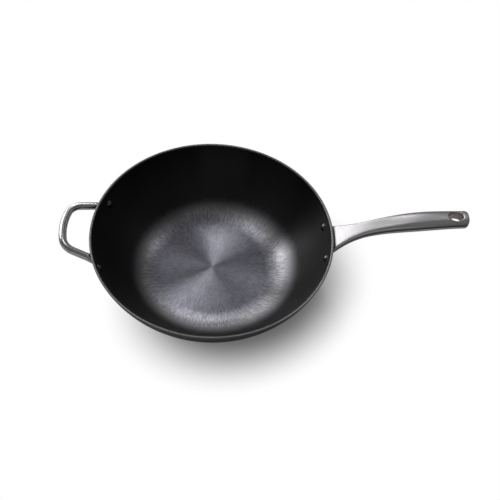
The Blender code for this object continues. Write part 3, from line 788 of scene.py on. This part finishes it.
def build_shell_mesh(shape, side):
    """One of the two thin shells, cut to the pan's wall and hollow, without its hanging eye."""
    handle = shape.handle
    clear = settings("wok_pan").wall + SEAM_GAP
    if side < 0:
        clear += handle.plate + SEAM_GAP
    stations = handle_stations(handle)
    columns = len(stations) - 1
    lips = len(LIP_LEVELS)
    rows = SECTION_STEPS + 2 * lips

    def point(row, reach):
        share = min(max((row - lips) / SECTION_STEPS, 0), 1)
        level = min(row, rows - row)
        if level < lips:
            return shape.lip(reach, share, side, LIP_LEVELS[level])
        return shape.place(reach, share, side)

    def grime_and_shade(row, place):
        """Dark share, partly dirt and partly painted shade: whole in the lips, fading up the side
        of the upper shell as painted shade.
        """
        if min(row, rows - row) < lips:
            return 1.0
        if side < 0:
            return 0.0
        above = place.z - shape.rim_height - shape.seam(place.x - shape.rim_radius)
        low, high = GRIME_AND_SHADE_SPAN
        return GRIME_AND_SHADE_SHARE * hermite(min(max(above, low), high), (low, 1.0), (high, 0.0))

    def start_of(row):
        """Reach at which a row comes clear of the pan's wall."""
        return solve(
            lambda reach: shape.wall.offset_of(point(row, reach)) - clear,
            -START_SEARCH, START_SEARCH,
        )

    starts = [start_of(row) for row in range(rows + 1)]
    bm = bmesh.new()
    # Carries the darkening at the seam: dirt, and painted shade
    seam = bm.verts.layers.float.new("seam")
    bmesh.ops.create_grid(bm, x_segments=columns, y_segments=rows, size=0.5)
    for vert in bm.verts:
        share = stations[round((vert.co.x + 0.5) * columns)]
        row = round((vert.co.y + 0.5) * rows)
        vert.co = point(row, starts[row] + (handle.length - starts[row]) * share)
        vert[seam] = grime_and_shade(row, vert.co)
    far = shape.rim_radius + handle.length - MERGE_DISTANCE
    border = [edge for edge in bm.edges if edge.is_boundary]
    border = [edge for edge in border if min(vert.co.x for vert in edge.verts) > far]
    bmesh.ops.contextual_create(bm, geom=border)
    bmesh.ops.recalc_face_normals(bm, faces=bm.faces)
    if sum(face.normal.z * face.calc_area() for face in bm.faces) * side < 0:
        bmesh.ops.reverse_faces(bm, faces=bm.faces)
    bmesh.ops.solidify(bm, geom=bm.faces[:], thickness=handle.sheet)
    return bm


EYE_WALL = 0.0010
EYE_STEPS = 10
EYE_SEGMENTS = 96
EYE_CUT_DEPTH = 0.06
MATCH_DIGITS = 7


def eye_middle(shape):
    reach = shape.handle.length - shape.handle.eye_from_end
    return Vector((shape.rim_radius + reach, 0, shape.rim_height + shape.seam(reach)))


def cut_eye(piece, shape):
    """Cut the hanging eye's oval through a shell."""
    handle = shape.handle
    grow = handle.eye_funnel + SEAM_GAP / 2
    size = (handle.eye_length / 2 + grow, handle.eye_width / 2 + grow, 1)
    bm = bmesh.new()
    bmesh.ops.create_cone(
        bm, cap_ends=True, segments=EYE_SEGMENTS, radius1=1.0, radius2=1.0, depth=EYE_CUT_DEPTH
    )
    bmesh.ops.scale(bm, verts=bm.verts, vec=size)
    bmesh.ops.translate(bm, verts=bm.verts, vec=eye_middle(shape))
    cutter = add_object("eye_cut", mesh_of(bm, "eye_cut"))
    modifier = piece.modifiers.new("eye", "BOOLEAN")
    modifier.operation = "DIFFERENCE"
    modifier.object = cutter
    graph = bpy.context.evaluated_depsgraph_get()
    cut = bpy.data.meshes.new_from_object(piece.evaluated_get(graph))
    piece.modifiers.clear()
    piece.data = cut
    cut.set_sharp_from_angle(angle=SHARP_ANGLE)
    bpy.data.objects.remove(cutter)


class WOK_OT_make_handle_shells(bpy.types.Operator):
    """Make the two pressed shells of the long handle"""

    bl_idname = "wok.make_handle_shells"
    bl_label = "Long Handle Shells"

    def execute(self, context):
        shape = HandleShape()
        lengthwise = (0.05, 1.0, 1.0)
        steel = build_steel(
            "satin steel", shape.handle.colour, lengthwise, (0.33, 0.42),
            anisotropy=0.3, relief=0.04,
        )
        for name, side, node in (
            ("long_handle_top", 1, "handle_upper_shell"),
            ("long_handle_bottom", -1, "handle_lower_shell"),
        ):
            shell = build_shell_mesh(shape, side)
            cut_eye(finish_piece(name, shell, [steel], "satin_steel", node), shape)
        return {"FINISHED"}


class WOK_OT_make_hanging_eye(bpy.types.Operator):
    """Make the rolled oval sleeve of the hanging eye"""

    bl_idname = "wok.make_hanging_eye"
    bl_label = "Hanging Eye"

    def execute(self, context):
        shape = HandleShape()
        handle = shape.handle
        middle = eye_middle(shape)
        funnel = handle.eye_funnel
        turns = spread(0, pi / 2, EYE_STEPS)
        inner = [(funnel * (1 - sin(turn)), funnel * (1 - cos(turn))) for turn in turns]
        outer = [(funnel, EYE_WALL), (EYE_WALL, funnel + EYE_WALL)]
        rings = [(grow, 1, sink) for grow, sink in inner]
        rings += [(grow, -1, sink) for grow, sink in inner[::-1] + outer]
        rings += [(grow, 1, sink) for grow, sink in outer[::-1]]
        bm = bmesh.new()
        loop = bmesh.ops.create_circle(bm, segments=EYE_SEGMENTS, radius=1.0)["verts"]
        unit = [vert.co.copy() for vert in loop]
        edges = bm.edges[:]
        loops = []
        for number, (grow, side, sink) in enumerate(rings):
            if number:
                made = bmesh.ops.extrude_edge_only(bm, edges=edges)["geom"]
                edges = edges_of(made)
                found = {vert.co.to_tuple(MATCH_DIGITS): vert for vert in verts_of(made)}
                loop = [found[before.co.to_tuple(MATCH_DIGITS)] for before in loop]
            for vert, on_circle in zip(loop, unit):
                x = middle.x + on_circle.x * (handle.eye_length / 2 + grow)
                y = on_circle.y * (handle.eye_width / 2 + grow)
                height = shape.face_height(x - shape.rim_radius, y, side) - side * sink
                vert.co = Vector((x, y, height))
            loops.append(edges)
        bmesh.ops.bridge_loops(bm, edges=loops[0] + loops[-1])
        bmesh.ops.recalc_face_normals(bm, faces=bm.faces)
        upright = (1.0, 1.0, 0.2)
        # Steel colour darkened and warmed as painted shade in the hanging eye
        steel = build_steel("rolled steel with painted shade", handle.eye_colour_with_shade, upright, (0.30, 0.38))
        finish_piece("hanging_eye", bm, [steel], "polished_steel", "handle_eye_sleeve")
        return {"FINISHED"}


WING_MARGIN = 0.0105
WING_HEIGHT = 0.0175
WING_CORNER = 0.008
NOTCH_MARGIN = 0.0038
NOTCH_DROP = 0.0130
NOTCH_CORNER = 0.001
# Bracket and pads sit this much lower than their rivets
PLATE_LOWERING = 0.001
OUTLINE_STEPS = 10
NOTCH_STEPS = 4


def is_straight(vert):
    """True for a border vertex whose two edges run on in one line."""
    first, last = (edge.other_vert(vert).co - vert.co for edge in vert.link_edges)
    return first.cross(last).length < MERGE_DISTANCE * first.length


class WOK_OT_make_bracket(bpy.types.Operator):
    """Make the curved plate that holds the long handle on the wall"""

    bl_idname = "wok.make_bracket"
    bl_label = "Mounting Bracket"

    def execute(self, context):
        wall = PanWall()
        handle = settings("wok_handle")
        rivet = settings("wok_rivet")
        radius = wall.point(wall.slope_at(rivet.depth, wall.wall), wall.wall).x
        half_wing = radius * sin(rivet.handle_angle) + WING_MARGIN
        half_notch = handle.flare_width / 2 + NOTCH_MARGIN
        middle = rivet.depth + PLATE_LOWERING
        levels = (-middle - WING_HEIGHT / 2, -NOTCH_DROP, -middle + WING_HEIGHT / 2)
        columns = (-half_wing, -half_notch, half_notch, half_wing)
        bm = bmesh.new()
        across, upwards = len(columns) - 1, len(levels) - 1
        bmesh.ops.create_grid(bm, x_segments=across, y_segments=upwards, size=0.5)
        for vert in bm.verts:
            vert.co.x = columns[round((vert.co.x + 0.5) * across)]
            vert.co.y = levels[round((vert.co.y + 0.5) * upwards)]
        notch = [face for face in bm.faces if face.calc_center_median().y > levels[1]]
        notch = [face for face in notch if abs(face.calc_center_median().x) < half_notch]
        bmesh.ops.delete(bm, geom=notch, context="FACES")
        bmesh.ops.dissolve_faces(bm, faces=bm.faces[:])
        bmesh.ops.dissolve_verts(bm, verts=[vert for vert in bm.verts if is_straight(vert)])
        wings = [vert for vert in bm.verts if abs(vert.co.x) > half_notch + MERGE_DISTANCE]
        bevel(bm, wings, "VERTICES", WING_CORNER, OUTLINE_STEPS)
        inner = [vert for vert in bm.verts if abs(abs(vert.co.x) - half_notch) < MERGE_DISTANCE]
        bevel(bm, inner, "VERTICES", NOTCH_CORNER, NOTCH_STEPS)
        bend_plate(bm, wall, 0.0, handle.plate)
        steel = bpy.data.materials["satin steel"]
        finish_piece(
            "long_handle_bracket", bm, [steel], "satin_steel", "handle_mounting_bracket"
        )
        return {"FINISHED"}


# Steps along the flat floor, the corner and the wall, and round the axis
FLOOR_STEPS = 12
CORNER_STEPS = 16
WALL_STEPS = 34
PAN_STEPS = 288
RIM_STEPS = 6
CHAMFER_STEPS = 3
# Places of the pan's three materials, and the height up to which the foot is all outside
INSIDE, OUTSIDE, RIM = range(3)
FOOT_TOP = 0.003
# Least Z of a face's normal on the flat floor
FLAT_NORMAL = 0.9


class WOK_OT_make_pan(bpy.types.Operator):
    """Make the cast iron pan"""

    bl_idname = "wok.make_pan"
    bl_label = "Pan"

    def execute(self, context):
        pan = settings("wok_pan")
        wall = PanWall()
        slopes = spread(0, wall.join_slope, CORNER_STEPS)
        slopes += spread(wall.join_slope, wall.rim_slope, WALL_STEPS)[1:]
        floor = spread(0, pan.flat_radius, FLOOR_STEPS)[:-1]
        inside = [(radius, pan.base_thickness) for radius in floor]
        inside += [tuple(wall.point(slope, 0)) for slope in slopes]
        foot_slope = asin(pan.foot_margin / (pan.corner_radius + pan.wall))
        slopes = spread(wall.slope_at(0, pan.wall), wall.join_slope, WALL_STEPS)
        slopes += spread(wall.join_slope, foot_slope, CORNER_STEPS)[1:]
        outside = [tuple(wall.point(slope, pan.wall)) for slope in slopes]
        foot = pan.flat_radius + pan.foot_margin
        outside += [(radius, 0.0) for radius in spread(foot, 0, FLOOR_STEPS)]
        bm = spin_section(inside + outside, PAN_STEPS)
        top = wall.rim_height - ROUND_TOLERANCE
        rim = [edge for edge in round_edges(bm) if edge.verts[0].co.z > top]
        bevel(bm, rim, "EDGES", pan.rim_rounding, RIM_STEPS)
        under = [edge for edge in round_edges(bm) if edge.verts[0].co.z < ROUND_TOLERANCE]
        under = [edge for edge in under if edge.verts[0].co.xy.length > foot - ROUND_TOLERANCE]
        bevel(bm, under, "EDGES", pan.foot_chamfer, CHAMFER_STEPS)
        for face in bm.faces:
            face.material_index = self.zone(face, wall)
        materials = [build_inside_iron(), build_outside_iron(), build_rim_iron()]
        finish_piece("pan_casting", bm, materials, "cast_iron", "wok_pan")
        return {"FINISHED"}

    def zone(self, face, wall):
        """Place of a face's material."""
        middle = face.calc_center_median()
        if middle.z > wall.rim_height - settings("wok_pan").rim_rounding:
            return RIM
        if middle.z < FOOT_TOP:
            return OUTSIDE
        faces_axis = Vector((middle.x, middle.y, 0)).dot(face.normal) < 0
        return INSIDE if faces_axis or face.normal.z > FLAT_NORMAL else OUTSIDE


def round_edges(bm):
    """Edges that run round the axis."""

    def is_round(edge):
        first, last = (Vector((vert.co.xy.length, vert.co.z)) for vert in edge.verts)
        return (first - last).length < ROUND_TOLERANCE

    return [edge for edge in bm.edges if is_round(edge)]


RIVET_STEPS = 48
HEAD_STEPS = 14
TAIL_STEPS = 8
# Height of the head's upright edge, how far it goes into the wall, and the play at the tail
HEAD_EDGE = 0.0003
HEAD_SINK = 0.0001
TAIL_PLAY = 0.0003
# Share of the tail's height that is rounded
TAIL_ROUND = 0.7


class WOK_OT_make_rivets(bpy.types.Operator):
    """Make the four rivets"""

    bl_idname = "wok.make_rivets"
    bl_label = "Rivets"

    def execute(self, context):
        rivet = settings("wok_rivet")
        wall = PanWall()
        steel = build_rivet_steel()
        plate = settings("wok_handle").plate
        pad = settings("wok_helper").pad
        for name, angle, held, node in (
            ("long_handle_rivet_back", rivet.handle_angle, plate, "handle_rivet_left"),
            ("long_handle_rivet_front", -rivet.handle_angle, plate, "handle_rivet_right"),
            ("helper_rivet_back", pi - rivet.helper_angle, pad, "helper_rivet_left"),
            ("helper_rivet_front", pi + rivet.helper_angle, pad, "helper_rivet_right"),
        ):
            bm = self.make_rivet(rivet, wall.wall + held)
            bmesh.ops.transform(bm, matrix=wall.frame(angle, rivet.depth), verts=bm.verts)
            finish_piece(name, bm, [steel], "dark_rivet_steel", node)
        return {"FINISHED"}

    def make_rivet(self, rivet, grip):
        """Domed head above the wall, shank through it and a flatter tail behind the plate."""
        dome = (rivet.head_radius**2 + rivet.head_height**2) / (2 * rivet.head_height)
        opening = asin(rivet.head_radius / dome)
        top = rivet.head_height + HEAD_EDGE
        turns = spread(0, opening, HEAD_STEPS)
        head = [(dome * sin(turn), top - dome * (1 - cos(turn))) for turn in turns]
        head += [(rivet.head_radius, -HEAD_SINK), (rivet.shank_radius, -HEAD_SINK)]
        seat = -(grip + TAIL_PLAY)
        rounding = rivet.tail_height * TAIL_ROUND
        tail = [(rivet.shank_radius, seat), (rivet.tail_radius, seat)]
        for turn in spread(0, pi / 2, TAIL_STEPS):
            radius = rivet.tail_radius - rounding * (1 - cos(turn))
            tail.append((radius, seat - rivet.tail_height + rounding * (1 - sin(turn))))
        tail.append((0, seat - rivet.tail_height))
        return spin_section(head + tail, RIVET_STEPS)


FOOT_LENGTH = 0.013
FOOT_FLATTEN = 0.012
FOOT_HALF_WIDTH = 0.0064
FOOT_HALF_THICKNESS = 0.0042
PAD_CORNER = 0.008
ROD_SEGMENTS = 40
BEND_STEPS = 24
LEG_STEPS = 26
# How far back from a foot's end, and over what length, its place on the wall is looked for
SLIDE_BACK = 0.02
SLIDE_SEARCH = 0.06


class WOK_OT_make_helper(bpy.types.Operator):
    """Make the bent rod and its riveted pads"""

    bl_idname = "wok.make_helper"
    bl_label = "Helper Handle"

    def execute(self, context):
        helper = settings("wok_helper")
        rivet = settings("wok_rivet")
        pan = settings("wok_pan")
        wall = PanWall()
        bm = self.make_rod(helper, pan, wall)
        margin = asin(helper.pad_margin / pan.rim_radius)
        pad_start = asin(helper.half_spread / pan.rim_radius) - margin
        pad_end = rivet.helper_angle + margin
        for sign in (1, -1):
            plate = bmesh.new()
            bmesh.ops.create_grid(plate, x_segments=1, y_segments=1, size=0.5)
            width = 2 * pan.rim_radius * sin((pad_end - pad_start) / 2)
            bmesh.ops.scale(plate, verts=plate.verts, vec=(width, helper.pad_height, 1))
            bevel(plate, plate.verts[:], "VERTICES", PAD_CORNER, OUTLINE_STEPS)
            drop = rivet.depth + PLATE_LOWERING
            bmesh.ops.translate(plate, verts=plate.verts, vec=(0, -drop, 0))
            bend_plate(plate, wall, pi + sign * (pad_start + pad_end) / 2, helper.pad)
            mesh = mesh_of(plate, "pad")
            bm.from_mesh(mesh)
            bpy.data.meshes.remove(mesh)
        crosswise = (1.0, 0.3, 1.0)
        steel = build_steel("polished steel", helper.colour, crosswise, (0.16, 0.20))
        finish_piece("helper_rod", bm, [steel], "polished_steel", "helper_handle")
        return {"FINISHED"}

    def make_rod(self, helper, pan, wall):
        """Half the loop, spun round its bends and drawn out along its leg, then mirrored."""
        bow = Vector((helper.reach / cos(helper.tilt) - helper.bow_radius, 0, 0))
        along = Vector((cos(helper.leg_angle), -sin(helper.leg_angle), 0))
        inside = Vector((-sin(helper.leg_angle), -cos(helper.leg_angle), 0))
        foot = Vector((0, helper.half_spread, 0))
        offset = foot + helper.corner_radius * inside - bow
        half = offset.dot(along)
        span = (helper.bow_radius - helper.corner_radius) ** 2
        leg = -half + sqrt(half**2 - offset.length_squared + span)
        corner = bow + offset + leg * along
        bow_angle = atan2(corner.y - bow.y, corner.x - bow.x)
        bend = pi / 2 - helper.leg_angle - bow_angle

        bm = bmesh.new()
        bmesh.ops.create_circle(bm, segments=ROD_SEGMENTS, radius=helper.rod_radius)
        bmesh.ops.rotate(bm, verts=bm.verts, matrix=Matrix.Rotation(pi / 2, 3, "X"))
        bmesh.ops.translate(bm, verts=bm.verts, vec=bow + Vector((helper.bow_radius, 0, 0)))
        geom = bm.verts[:] + bm.edges[:]
        for centre, angle in ((bow, bow_angle), (corner, bend)):
            geom = bmesh.ops.spin(
                bm, geom=geom, cent=centre, axis=(0, 0, 1), angle=angle, steps=BEND_STEPS
            )["geom_last"]
        reach = leg + FOOT_LENGTH
        for _ in range(LEG_STEPS):
            geom = bmesh.ops.extrude_edge_only(bm, edges=edges_of(geom))["geom"]
            bmesh.ops.translate(bm, verts=verts_of(geom), vec=-along * reach / LEG_STEPS)
        last = verts_of(geom)

        end = foot - FOOT_LENGTH * along
        sideways = Vector((-along.y, along.x, 0))
        for vert in bm.verts:
            from_end = (vert.co - end).dot(along)
            if from_end > FOOT_FLATTEN or vert.co.y < helper.half_spread / 2:
                continue
            share = max(from_end, 0) / FOOT_FLATTEN
            round_rod = (1, helper.rod_radius)
            wide = hermite(share, (0, FOOT_HALF_WIDTH), round_rod) / helper.rod_radius
            thick = hermite(share, (0, FOOT_HALF_THICKNESS), round_rod) / helper.rod_radius
            across = (vert.co - end).dot(sideways)
            vert.co += (wide - 1) * across * sideways
            vert.co.z *= thick
        place = (
            Matrix.Translation((-pan.rim_radius, 0, wall.rim_height - helper.drop))
            @ Matrix.Rotation(pi, 4, "Z")
            @ Matrix.Rotation(-helper.tilt, 4, "Y")
        )
        bmesh.ops.transform(bm, matrix=place, verts=bm.verts)
        outwards = (place.to_3x3() @ along).normalized()
        inside_pad = wall.wall + helper.pad / 2
        for vert in bm.verts:
            if wall.offset_of(vert.co) < inside_pad or vert in last:
                start = vert.co - SLIDE_BACK * outwards
                slide = solve(
                    lambda t: wall.offset_of(start + t * outwards) - inside_pad, 0, SLIDE_SEARCH
                )
                vert.co = start + slide * outwards
        bmesh.ops.remove_doubles(bm, verts=bm.verts, dist=MERGE_DISTANCE)
        border = [edge for edge in bm.edges if edge.is_boundary]
        border = [edge for edge in border if abs(edge.verts[0].co.y) > MERGE_DISTANCE]
        bmesh.ops.contextual_create(bm, geom=border)
        geom = bm.verts[:] + bm.edges[:] + bm.faces[:]
        bmesh.ops.mirror(bm, geom=geom, axis="Y", merge_dist=MERGE_DISTANCE)
        bmesh.ops.remove_doubles(bm, verts=bm.verts, dist=MERGE_DISTANCE)
        bmesh.ops.recalc_face_normals(bm, faces=bm.faces)
        return bm


# Stage


# Name, azimuth and height in degrees, and the lit face's width, height and brightness
SOFTBOXES = (
    ("key softbox", 43, 13, 2.10, 0.66, 4.4),
    ("back softbox", 48, 34, 1.10, 0.55, 3.8),
    ("neck softbox", 26, 47, 0.90, 0.40, 0.5),
    ("low softbox", 17, 24, 0.50, 0.50, 4.0),
    ("back strip", 1, 41, 0.30, 0.45, 11.0),
    ("left softbox", 64, 31, 0.70, 0.60, 3.0),
    ("high softbox", 38, 67, 0.60, 0.50, 4.3),
    ("grip softbox", -30, 58, 0.50, 0.40, 2.3),
    ("right softbox", -60, 5, 2.88, 0.46, 0.6),
    ("left front softbox", 122, 5, 1.60, 0.46, 0.6),
    ("front softbox", 170, 10, 1.70, 0.80, 0.6),
    ("top softbox", -160, 60, 1.20, 0.90, 0.2),
)
SOFTBOX_DISTANCE = 2.2
SOFTBOX_AIM = Vector((0.05, 0.0, 0.05))
WHITE = (1.0, 1.0, 1.0, 1.0)
ROOM_COLOUR = (0.97, 0.98, 1.0, 1.0)
# Place, size and turn of the oval on the floor that keeps the shadow. It is set where the shadow
# falls, and inside it the floor is darker than the white around it even where lit, so it is partly
# painted shadow.
SHADE_PLACE = (0.041, -0.022, 0.0)
SHADE_SIZE = (1.21, 1.0, 1.0)
SHADE_TURN = (0.0, 0.0, radians(29.6))
# Camera's place to the right of and below the rim's middle, its sensor and its lens in mm
CAMERA_RIGHT = 0.0509
CAMERA_DOWN = 0.0204
SENSOR_WIDTH = 36
LENS = 49.68


def add_softbox(name, azimuth, height, width, tall, brightness):
    """Lit face turned to the pan, as bright as white where brightness is 1."""
    light = bpy.data.lights.new(name, "AREA")
    light.shape = "RECTANGLE"
    light.size = width
    light.size_y = tall
    light.energy = brightness * pi * width * tall
    away = direction(radians(azimuth), radians(height))
    lamp = add_object(name, light)
    lamp.location = SOFTBOX_AIM + SOFTBOX_DISTANCE * away
    lamp.rotation_euler = (-away).to_track_quat("-Z", "Y").to_euler()


def direction(azimuth, height):
    """Unit vector at an angle from +Y towards -X, and a height above the floor."""
    return Vector((-sin(azimuth) * cos(height), cos(azimuth) * cos(height), sin(height)))


def seen_share(maker, mirrored):
    """1 for what the camera sees, and mirrored for what it sees in metal or through glass."""
    path = maker.add("LightPath").outputs
    bounced = maker.math("MAXIMUM", path["Is Glossy Ray"], path["Is Transmission Ray"])
    return maker.math("MAXIMUM", path["Is Camera Ray"], maker.times(bounced, mirrored))


def show_blend(maker, share, plain, white, output):
    """Feed an output with a plain shader that gives way to a white one by a share."""
    blend = maker.add("MixShader", {0: share, 1: plain.outputs[0], 2: white.outputs[0]})
    maker.feed(maker.tree.nodes[output], {"Surface": blend.outputs[0]})


class WOK_OT_make_stage(bpy.types.Operator):
    """Make the floor, the soft lights and the camera"""

    bl_idname = "wok.make_stage"
    bl_label = "Stage"

    def execute(self, context):
        stage = settings("wok_stage")
        self.make_floor(stage)
        self.make_world(stage)
        for softbox in SOFTBOXES:
            add_softbox(*softbox)
        self.make_camera(stage)
        context.scene.view_settings.view_transform = "Standard"
        return {"FINISHED"}

    def make_floor(self, stage):
        bm = bmesh.new()
        bmesh.ops.create_grid(bm, x_segments=1, y_segments=1, size=stage.floor_size / 2)
        floor = add_object("floor", mesh_of(bm, "floor"))
        material, maker, shader, place = new_material("pale floor")
        material.node_tree.nodes.remove(shader)
        matte = maker.add("BsdfDiffuse", {"Color": (*stage.floor_colour, 1.0)})
        glow = maker.add("Emission", {"Color": WHITE, "Strength": 1.0})
        # Outside the oval the floor glows white. Inside, it shows the real shadow on a greyer
        # floor, which is partly painted shadow
        shade = maker.mapping(place, SHADE_SIZE, SHADE_PLACE, SHADE_TURN, "TEXTURE")
        away = maker.length(shade)
        white = maker.fade(away, stage.shade_start, stage.shade_end, stage.shaded_white, 1.0)
        share = maker.times(seen_share(maker, stage.mirrored_white), white)
        show_blend(maker, share, matte, glow, "Material Output")
        floor.data.materials.append(material)

    def make_world(self, stage):
        world = bpy.data.worlds.new("studio")
        bpy.context.scene.world = world
        world.use_nodes = True
        maker = NodeMaker(world.node_tree)
        room = world.node_tree.nodes["Background"]
        maker.feed(room, {"Color": ROOM_COLOUR, "Strength": stage.room_light})
        white = maker.add("Background", {"Color": WHITE, "Strength": 1.0})
        share = seen_share(maker, stage.mirrored_white)
        show_blend(maker, share, room, white, "World Output")

    def make_camera(self, stage):
        """Camera at the photograph's angle."""
        height, roll = stage.camera_height, stage.camera_roll
        right = Vector((1, 0, 0))
        up = Vector((0, sin(height), cos(height)))
        back = Vector((0, -cos(height), sin(height)))
        rolled_right = cos(roll) * right - sin(roll) * up
        rolled_up = sin(roll) * right + cos(roll) * up
        turn = Matrix((rolled_right, rolled_up, back)).transposed().to_4x4()
        turn.translation = (
            CAMERA_RIGHT * right - CAMERA_DOWN * up + stage.camera_distance * back
        )
        data = bpy.data.cameras.new("camera")
        data.sensor_width = SENSOR_WIDTH
        data.lens = LENS
        camera = add_object("camera", data)
        rim = Matrix.Translation((0, 0, PanWall().rim_height))
        camera.matrix_world = rim @ Matrix.Rotation(-stage.camera_turn, 4, "Z") @ turn
        bpy.context.scene.camera = camera


class WOK_PT_panel(bpy.types.Panel):
    """Lists the wok's operators and settings"""

    bl_idname = "WOK_PT_panel"
    bl_label = "Cast Iron Wok"
    bl_space_type = "VIEW_3D"
    bl_region_type = "UI"
    bl_category = "Wok"

    def draw(self, context):
        for operator in OPERATORS:
            self.layout.operator(operator.bl_idname)
        for name in SETTINGS:
            box = self.layout.box()
            group = getattr(context.scene, name)
            for key in group.bl_rna.properties.keys():
                if key not in ("rna_type", "name"):
                    box.prop(group, key)


SETTINGS = {
    "wok_pan": WokPanSettings,
    "wok_rivet": WokRivetSettings,
    "wok_handle": WokHandleSettings,
    "wok_helper": WokHelperSettings,
    "wok_stage": WokStageSettings,
}
OPERATORS = (
    WOK_OT_make_pan,
    WOK_OT_make_rivets,
    WOK_OT_make_handle_shells,
    WOK_OT_make_helper,
    WOK_OT_make_hanging_eye,
    WOK_OT_make_bracket,
    WOK_OT_make_stage,
)
CLASSES = (*SETTINGS.values(), *OPERATORS, WOK_PT_panel)


def register():
    for each in CLASSES:
        bpy.utils.register_class(each)
    for name, group in SETTINGS.items():
        setattr(bpy.types.Scene, name, PointerProperty(type=group))


def unregister():
    for name in SETTINGS:
        delattr(bpy.types.Scene, name)
    for each in reversed(CLASSES):
        bpy.utils.unregister_class(each)


def main():
    register()
    build_turning_group()
    build_cast_group()
    build_brush_group()
    build_handling_group()
    bpy.ops.wok.make_pan()
    bpy.ops.wok.make_rivets()
    bpy.ops.wok.make_handle_shells()
    bpy.ops.wok.make_helper()
    bpy.ops.wok.make_hanging_eye()
    bpy.ops.wok.make_bracket()
    bpy.ops.wok.make_stage()


if __name__ == "__main__":
    main()
